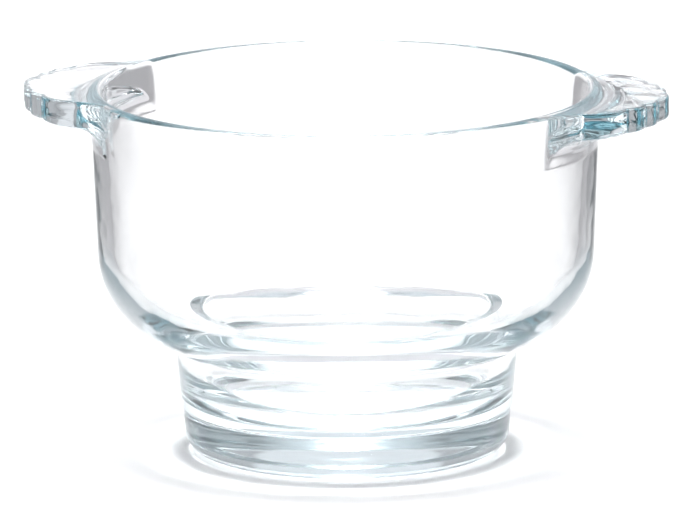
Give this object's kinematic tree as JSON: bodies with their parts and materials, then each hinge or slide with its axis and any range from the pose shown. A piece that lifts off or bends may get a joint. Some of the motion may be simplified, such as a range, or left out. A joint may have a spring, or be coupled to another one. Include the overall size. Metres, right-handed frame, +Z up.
{
  "type": "punch bowl",
  "caption": "Open pressed-glass punch bowl with a rounded rim, steep walls and deep shoulder on a drum-shaped foot, carried by flat scalloped lug handles.",
  "frame": {"origin": "centre of the base, in the plane that the bowl rests on", "axes": "+Z up along the bowl's axis, +X towards the right handle, +Y away from the viewer"},
  "size_m": [0.307, 0.24, 0.1739],
  "materials": {
    "glass": "clear pressed soda-lime glass, fire-polished, faint aqua tint in the thick parts"
  },
  "bodies": {
    "root": {"bowl": "glass", "foot": "glass", "handle_right": "glass", "handle_left": "glass"}
  },
  "joints": []
}
